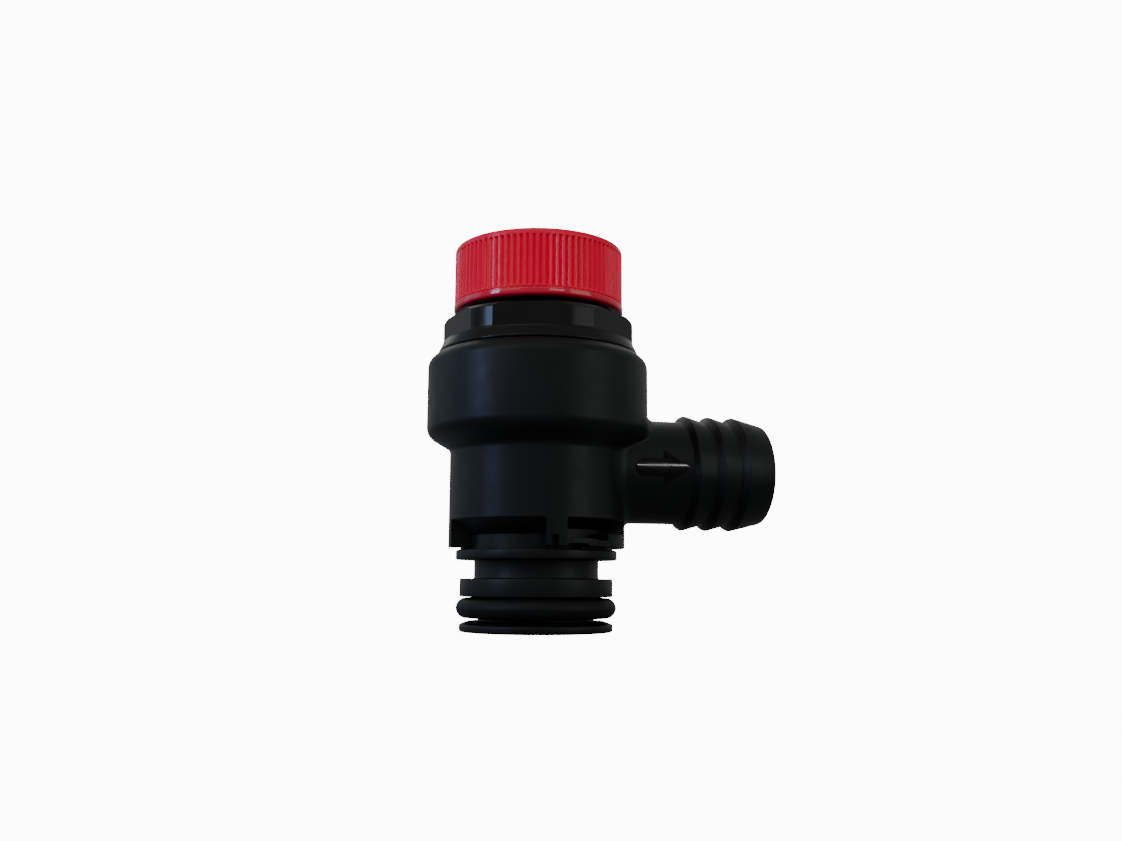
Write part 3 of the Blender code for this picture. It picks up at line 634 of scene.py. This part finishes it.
def make_knob():
    """Ribbed knob with a smooth lower band, hollow below, and the cam track that rides on the collar."""
    rib_heights = [38.5, 38.54, 38.6, 38.7, 38.82, 40.0, 41.5, 43.0, 44.3, 44.4, 44.5, RIB_HIGH]
    outside = rounded([
        (STEM_HOLE, 40.25),
        (HUB_RADIUS, 40.25, 0.15),
        (HUB_RADIUS, CAM_TRACK),
        (SKIRT_BORE, CAM_TRACK),
        (SKIRT_BORE, KNOB_FOOT, 0.1),
        (BAND_RADIUS, KNOB_FOOT, 0.36),
        (BAND_RADIUS, BAND_TOP, 0.14),
        (10.0, 38.37),
        (10.0, 38.44),
        *((KNOB_RADIUS, height) for height in rib_heights),
        (KNOB_RADIUS, KNOB_TOP, 0.65),
        (5.6, KNOB_TOP, 0.12),
        (5.6, 43.85),
        (4.7, 43.85),
        (4.7, 41.35),
        (STEM_HOLE, 41.35),
    ], steps=5)
    knob = turned("knob", outside, sides=8 * RIB_COUNT, closed=True)
    raise_cams(knob, CAM_TRACK)
    for vertex in knob.data.vertices:
        radius, degrees, height = place_on_valve(vertex.co)
        if radius > 9.3 and height > 38.46:
            depth = gap_depth(degrees, height) * MM
            vertex.co.x -= depth * math.cos(math.radians(degrees))
            vertex.co.y -= depth * math.sin(math.radians(degrees))
    smooth(knob, 30)
    return knob


def make_cap():
    """Cap pressed into the knob's top, slightly dished, with the mark of the mould's gate."""
    outline = rounded([
        (0, CAP_FOOT),
        (CAP_RADIUS, CAP_FOOT, 0.1),
        (CAP_RADIUS, CAP_TOP, 0.25),
        (4.4, CAP_TOP, 0.2),
        (4.1, CAP_TOP - 0.1, 0.2),
        (0.55, CAP_TOP - 0.13, 0.1),
        (0.45, CAP_TOP - 0.2, 0.05),
        (0, CAP_TOP - 0.2),
    ], steps=4)
    cap = turned("cap", outline, sides=SMALL_SIDES)
    smooth(cap)
    return cap


def make_spring():
    """Wire wound on a helix whose end turns lie close together."""
    low, high = SPRING_FOOT + WIRE / 2, SPRING_TOP - WIRE / 2
    open_turns = COIL_TURNS - 2 * COIL_END_TURNS
    rise = high - low - 2 * COIL_END_TURNS * WIRE
    curve = bpy.data.curves.new("spring", "CURVE")
    curve.dimensions = "3D"
    curve.bevel_depth = WIRE / 2 * MM
    curve.bevel_resolution = 4
    curve.use_fill_caps = True
    spline = curve.splines.new("POLY")
    count = round(COIL_TURNS * COIL_STEPS)
    spline.points.add(count)
    for i, point in enumerate(spline.points):
        turned_by = COIL_TURNS * i / count
        opened = min(max(turned_by - COIL_END_TURNS, 0.0), open_turns)
        height = low + (turned_by - opened) * WIRE + opened / open_turns * rise
        angle = math.tau * turned_by
        place = from_axis(COIL_RADIUS * math.cos(angle), COIL_RADIUS * math.sin(angle), height)
        point.co = (*place, 1.0)
    spring = bpy.data.objects.new("spring", curve)
    bpy.context.scene.collection.objects.link(spring)
    take(spring)
    bpy.ops.object.convert(target="MESH")
    spring = bpy.context.object
    bpy.ops.object.mode_set(mode="EDIT")
    close_shell(spring)
    smooth(spring, 50)
    return spring


def make_membrane():
    """Rubber membrane with one rolled fold between its clamped middle and rim."""
    width = FOLD_OUTSIDE - FOLD_INSIDE
    shares = [step / FOLD_STEPS for step in range(FOLD_STEPS + 1)]
    fold = [(FOLD_INSIDE + width * s, FOLD_RISE * math.sin(math.pi * s)) for s in shares]
    outline = [
        (STEM_HOLE, MEMBRANE_LOW),
        *((r, MEMBRANE_LOW + rise) for r, rise in fold),
        (MEMBRANE_RADIUS, MEMBRANE_LOW),
        (MEMBRANE_RADIUS, MEMBRANE_TOP),
        *((r, MEMBRANE_TOP + rise) for r, rise in reversed(fold)),
        (STEM_HOLE, MEMBRANE_TOP),
    ]
    membrane = turned("membrane", outline, SMALL_SIDES, closed=True)
    smooth(membrane)
    return membrane


def ease_fold(membrane):
    """Lets the fold bend softly between the rim, which stays, and the middle, which lifts."""
    follow = membrane.data.attributes["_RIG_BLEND"].data
    for vertex, share in zip(membrane.data.vertices, follow):
        radius = place_on_valve(vertex.co)[0]
        inward = min(max((FOLD_OUTSIDE - radius) / (FOLD_OUTSIDE - FOLD_INSIDE), 0), 1)
        share.value = inward * inward * (3 - 2 * inward)


def new_finish(name, colour, roughness, metallic=0.0, shine=0.5):
    """A Principled finish; returns the material, its nodes, links and shader."""
    finish = bpy.data.materials.new(name)
    finish.use_nodes = True
    nodes, links = finish.node_tree.nodes, finish.node_tree.links
    shader = nodes["Principled BSDF"]
    shader.inputs["Base Color"].default_value = (*colour, 1.0)
    shader.inputs["Roughness"].default_value = roughness
    shader.inputs["Metallic"].default_value = metallic
    shader.inputs["Specular IOR Level"].default_value = shine
    return finish, nodes, links, shader


def grain(nodes, links, scale, detail=4.0):
    """Noise on Object coordinates."""
    place = nodes.new("ShaderNodeTexCoord")
    noise = nodes.new("ShaderNodeTexNoise")
    noise.inputs["Scale"].default_value = scale
    noise.inputs["Detail"].default_value = detail
    links.new(place.outputs["Object"], noise.inputs["Vector"])
    return noise.outputs["Fac"]


def mapped(nodes, links, source, from_low, from_high, to_low, to_high):
    """Maps one range of values onto another."""
    step = nodes.new("ShaderNodeMapRange")
    step.inputs["From Min"].default_value = from_low
    step.inputs["From Max"].default_value = from_high
    step.inputs["To Min"].default_value = to_low
    step.inputs["To Max"].default_value = to_high
    links.new(source, step.inputs["Value"])
    return step.outputs["Result"]


def by_height(nodes, links, height, below, above):
    """One value below a height and another above it."""
    place = nodes.new("ShaderNodeTexCoord")
    parts = nodes.new("ShaderNodeSeparateXYZ")
    links.new(place.outputs["Object"], parts.inputs["Vector"])
    edge_low, edge_high = (height - POLISH_EDGE) * MM, (height + POLISH_EDGE) * MM
    return mapped(nodes, links, parts.outputs["Z"], edge_low, edge_high, below, above)


def tint(nodes, links, shader, source, dark, light):
    """Colours a surface between two shades by a pattern."""
    ramp = nodes.new("ShaderNodeValToRGB")
    ramp.color_ramp.elements[0].position = NOISE_LOW
    ramp.color_ramp.elements[0].color = (*dark, 1.0)
    ramp.color_ramp.elements[1].position = NOISE_HIGH
    ramp.color_ramp.elements[1].color = (*light, 1.0)
    links.new(source, ramp.inputs["Fac"])
    links.new(ramp.outputs["Color"], shader.inputs["Base Color"])


def relief(nodes, links, shader, source, depth):
    """Raises a surface by a pattern."""
    bump = nodes.new("ShaderNodeBump")
    bump.inputs["Distance"].default_value = depth * MM
    links.new(source, bump.inputs["Height"])
    links.new(bump.outputs["Normal"], shader.inputs["Normal"])


def polish_and_shade_foot(nodes, links, shader, roughness, height, shine):
    """Makes a moulding smoother and shinier below a height and darkens its colour there as painted shade;
    returns its roughness.
    """
    smoother = nodes.new("ShaderNodeMath")
    smoother.operation = "MULTIPLY"
    links.new(roughness, smoother.inputs[0])
    links.new(by_height(nodes, links, height, POLISHED_ROUGHNESS, 1.0), smoother.inputs[1])
    gleam = by_height(nodes, links, height, POLISHED_SHINE, shine)
    links.new(gleam, shader.inputs["Specular IOR Level"])
    # Painted shade: the base colour is darkened below the height
    painted_shade = nodes.new("ShaderNodeHueSaturation")
    links.new(by_height(nodes, links, height, FOOT_PAINTED_SHADE, 1.0), painted_shade.inputs["Value"])
    links.new(shader.inputs["Base Color"].links[0].from_socket, painted_shade.inputs["Color"])
    links.new(painted_shade.outputs["Color"], shader.inputs["Base Color"])
    return smoother.outputs["Value"]


def moulded(name, dark, light, rough_low, rough_high, grain_scale, depth, shine, polished_and_shaded_below=None):
    """Moulded plastic: slow variation in tone, patches of sheen, a fine grain and perhaps a polished foot
    darkened with painted shade.
    """
    finish, nodes, links, shader = new_finish(name, dark, rough_low, shine=shine)
    tint(nodes, links, shader, grain(nodes, links, SHADE_SCALE), dark, light)
    patches = grain(nodes, links, SHEEN_SCALE)
    roughness = mapped(nodes, links, patches, NOISE_LOW, NOISE_HIGH, rough_low, rough_high)
    if polished_and_shaded_below:
        roughness = polish_and_shade_foot(nodes, links, shader, roughness, polished_and_shaded_below, shine)
    links.new(roughness, shader.inputs["Roughness"])
    relief(nodes, links, shader, grain(nodes, links, grain_scale, 6), depth)
    return finish


def lathe_turned(name, colour, roughness):
    """Turned metal with fine rings round the valve's axis."""
    finish, nodes, links, shader = new_finish(name, colour, roughness, metallic=1.0)
    place = nodes.new("ShaderNodeTexCoord")
    centre = nodes.new("ShaderNodeMapping")
    centre.inputs["Location"].default_value = (-AXIS_X, 0, 0)
    rings = nodes.new("ShaderNodeTexWave")
    rings.wave_type = "RINGS"
    rings.rings_direction = "SPHERICAL"
    rings.inputs["Scale"].default_value = 1600
    rings.inputs["Distortion"].default_value = 0.6
    links.new(place.outputs["Object"], centre.inputs["Vector"])
    links.new(centre.outputs["Vector"], rings.inputs["Vector"])
    relief(nodes, links, shader, rings.outputs["Fac"], 0.004)
    tint(nodes, links, shader, grain(nodes, links, 300), [c * 0.8 for c in colour], colour)
    return finish


def dress(finish, piece):
    """Gives a finish to a piece."""
    piece.data.materials.clear()
    piece.data.materials.append(finish)


def lay_floor():
    """Pale floor that the camera sees as white."""
    let_go()
    bpy.ops.mesh.primitive_circle_add(
        vertices=96, radius=FLOOR_RADIUS, fill_type="NGON", location=(0, 0, 0)
    )
    floor = bpy.context.object
    floor.name = "floor"
    paper, nodes, links, shader = new_finish("floor_paper", (0.9, 0.9, 0.9), 0.9)
    tint(nodes, links, shader, grain(nodes, links, 30), (0.23, 0.23, 0.23), (0.26, 0.26, 0.26))
    bright = nodes.new("ShaderNodeEmission")
    bright.inputs["Strength"].default_value = FLOOR_GLOW
    both = nodes.new("ShaderNodeAddShader")
    seen = nodes.new("ShaderNodeLightPath")
    pick = nodes.new("ShaderNodeMixShader")
    links.new(shader.outputs["BSDF"], both.inputs[0])
    links.new(bright.outputs["Emission"], both.inputs[1])
    links.new(seen.outputs["Is Camera Ray"], pick.inputs["Fac"])
    links.new(shader.outputs["BSDF"], pick.inputs[1])
    links.new(both.outputs["Shader"], pick.inputs[2])
    links.new(pick.outputs["Shader"], nodes["Material Output"].inputs["Surface"])
    dress(paper, floor)


def set_surround():
    """White surround for the camera, and a dim one for the valve."""
    world = bpy.data.worlds.new("surround")
    world.use_nodes = True
    nodes, links = world.node_tree.nodes, world.node_tree.links
    nodes.clear()
    seen = nodes.new("ShaderNodeBackground")
    seen.inputs["Color"].default_value = (1, 1, 1, 1)
    seen.inputs["Strength"].default_value = SURROUND_SEEN
    dim = nodes.new("ShaderNodeBackground")
    dim.inputs["Color"].default_value = (0.97, 0.99, 1.0, 1)
    dim.inputs["Strength"].default_value = SURROUND_LIGHT
    path = nodes.new("ShaderNodeLightPath")
    mix = nodes.new("ShaderNodeMixShader")
    out = nodes.new("ShaderNodeOutputWorld")
    links.new(path.outputs["Is Camera Ray"], mix.inputs["Fac"])
    links.new(dim.outputs["Background"], mix.inputs[1])
    links.new(seen.outputs["Background"], mix.inputs[2])
    links.new(mix.outputs["Shader"], out.inputs["Surface"])
    bpy.context.scene.world = world


def add_softbox(name, degrees, rise, width, height, power, colour):
    """A soft light at an angle from the front of the valve, turned to its middle."""
    around, up = math.radians(degrees), math.radians(rise)
    target = from_axis(0, 0, 20)
    back = Vector((math.sin(around) * math.cos(up), -math.cos(around) * math.cos(up), math.sin(up)))
    let_go()
    bpy.ops.object.light_add(type="AREA", location=target + back * LIGHT_DISTANCE)
    light = bpy.context.object
    light.name = name
    light.rotation_euler = back.to_track_quat("Z", "Y").to_euler()
    light.data.shape = "RECTANGLE"
    light.data.size = width
    light.data.size_y = height
    light.data.energy = power
    light.data.color = colour
    return light


def hang_lights():
    """Soft lights all round, and two that shine on one piece alone."""
    # Name, degrees round the valve, rise, width, height, power, colour, the one piece it shines on
    for name, degrees, rise, width, height, power, colour, piece in (
        ("window_light", -71, 15, 0.10, 0.16, 0.80, (0.33, 0.53, 1.0), None),
        ("window_glow", -60, 32, 0.40, 0.30, 0.40, (0.97, 0.87, 0.60), None),
        ("side_light", 45, 8, 0.26, 0.30, 0.43, (0.95, 1.0, 0.96), None),
        ("front_light", -18, 38, 0.50, 0.20, 0.32, (0.95, 1.0, 0.95), None),
        ("back_light", 180, 40, 0.60, 0.30, 0.30, (1, 1, 1), None),
        ("rim_light", -112, 12, 0.30, 0.40, 0.30, (0.40, 0.60, 1.0), None),
        ("spark_light", 20.3, 9.3, 0.12, 0.016, 0.38, (1, 1, 1), "arrow"),
        ("rib_light", 12, 17, 0.17, 0.08, 0.14, (1.0, 0.92, 0.95), "knob"),
    ):
        light = add_softbox(name, degrees, rise, width, height, power, colour)
        if piece:
            receiver = bpy.data.collections.new(light.name)
            receiver.objects.link(bpy.data.objects[piece])
            light.light_linking.receiver_collection = receiver


def set_camera():
    """The camera at the photograph's place, a little under the outlet and looking slightly up."""
    let_go()
    around = math.radians(CAMERA_TURN)
    place = from_axis(0, 0, CAMERA_HEIGHT)
    place += CAMERA_AWAY * MM * Vector((math.sin(around), -math.cos(around), 0))
    place += CAMERA_ASIDE * MM * Vector((math.cos(around), math.sin(around), 0))
    aim = Matrix.Rotation(around, 3, "Z")
    aim = aim @ Matrix.Rotation(math.radians(CAMERA_TILT), 3, "X")
    aim = aim @ Matrix.Rotation(math.radians(CAMERA_ROLL), 3, "Z")
    bpy.ops.object.camera_add(location=place, rotation=aim.to_euler())
    camera = bpy.context.object
    camera.data.sensor_fit = "HORIZONTAL"
    camera.data.sensor_width = 36
    camera.data.lens = CAMERA_LENS
    camera.data.clip_start = 0.001
    bpy.context.scene.camera = camera


black_nylon = moulded(
    "black_nylon", (0.0035, 0.0038, 0.0042), (0.005, 0.0055, 0.006), 0.36, 0.46, 5200, 0.004, 0.16
)
gloss_nylon = moulded(
    "gloss_nylon", (0.0066, 0.0058, 0.0060), (0.0086, 0.0076, 0.0080), 0.14, 0.19, 5200, 0.001, 0.14
)
# The knob's band below 38.4 mm is polished, and its colour is darkened there as painted shade
red_plastic = moulded(
    "red_plastic", (0.82, 0.0, 0.040), (0.89, 0.0, 0.050), 0.15, 0.20, 4200, 0.001, 0.15, 38.4
)
polished_nylon = moulded(
    "polished_nylon", (0.0022, 0.0023, 0.0025), (0.003, 0.0031, 0.0035), 0.07, 0.11, 5200, 0.001, 0.1
)
black_rubber = moulded(
    "black_rubber", (0.0035, 0.0035, 0.004), (0.005, 0.005, 0.0055), 0.48, 0.58, 6500, 0.003, 0.13
)
slip_plastic = moulded(
    "slip_plastic", (0.68, 0.66, 0.62), (0.76, 0.75, 0.71), 0.4, 0.5, 4200, 0.002, 0.5
)
turned_brass = lathe_turned("turned_brass", (0.75, 0.55, 0.25), 0.28)
plain_steel = lathe_turned("plain_steel", (0.60, 0.60, 0.62), 0.3)

# What makes the piece, the node it replaces, the body it rides on, its finish and its slot
PIECES = (
    (make_body, "valve_body", "valve_housing", black_nylon, "black_nylon"),
    (make_flow_arrow, None, "valve_housing", polished_nylon, "black_nylon"),
    (make_o_ring, "inlet_o_ring", "valve_housing", black_rubber, "black_rubber"),
    (make_bonnet, "bonnet", "valve_housing", gloss_nylon, "black_nylon"),
    (make_knob, "control_knob", "knob", red_plastic, "red_plastic"),
    (make_cap, "knob_cap", "knob", red_plastic, "red_plastic"),
    (make_spring, "valve_spring", "valve_housing", plain_steel, "steel"),
    (make_membrane, "diaphragm", "valve_housing", black_rubber, "black_rubber"),
)
for make, node, carrier, finish, slot in PIECES:
    piece = make()
    dress(finish, piece)
    if node:
        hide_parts(node)
    if node != "diaphragm":
        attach(piece, carrier)
    if node == "valve_spring":
        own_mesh(piece)
    if node == "diaphragm":
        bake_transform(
            piece,
            "valve_housing",
            "lift_group",
            start=from_axis(8.7, 0, 26),
            end=from_axis(6.9, 0, 26),
        )
        ease_fold(piece)

for node, finish in (
    ("seat_seal", black_rubber),
    ("disc_holder", turned_brass),
    ("slip_ring", slip_plastic),
    ("spring_plate", plain_steel),
    ("stem", turned_brass),
    ("spring_washer", plain_steel),
    ("spring_adjuster", turned_brass),
    ("knob_washer", plain_steel),
    ("knob_nut", plain_steel),
):
    dress(finish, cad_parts[node])

lay_floor()
set_surround()
hang_lights()
set_camera()
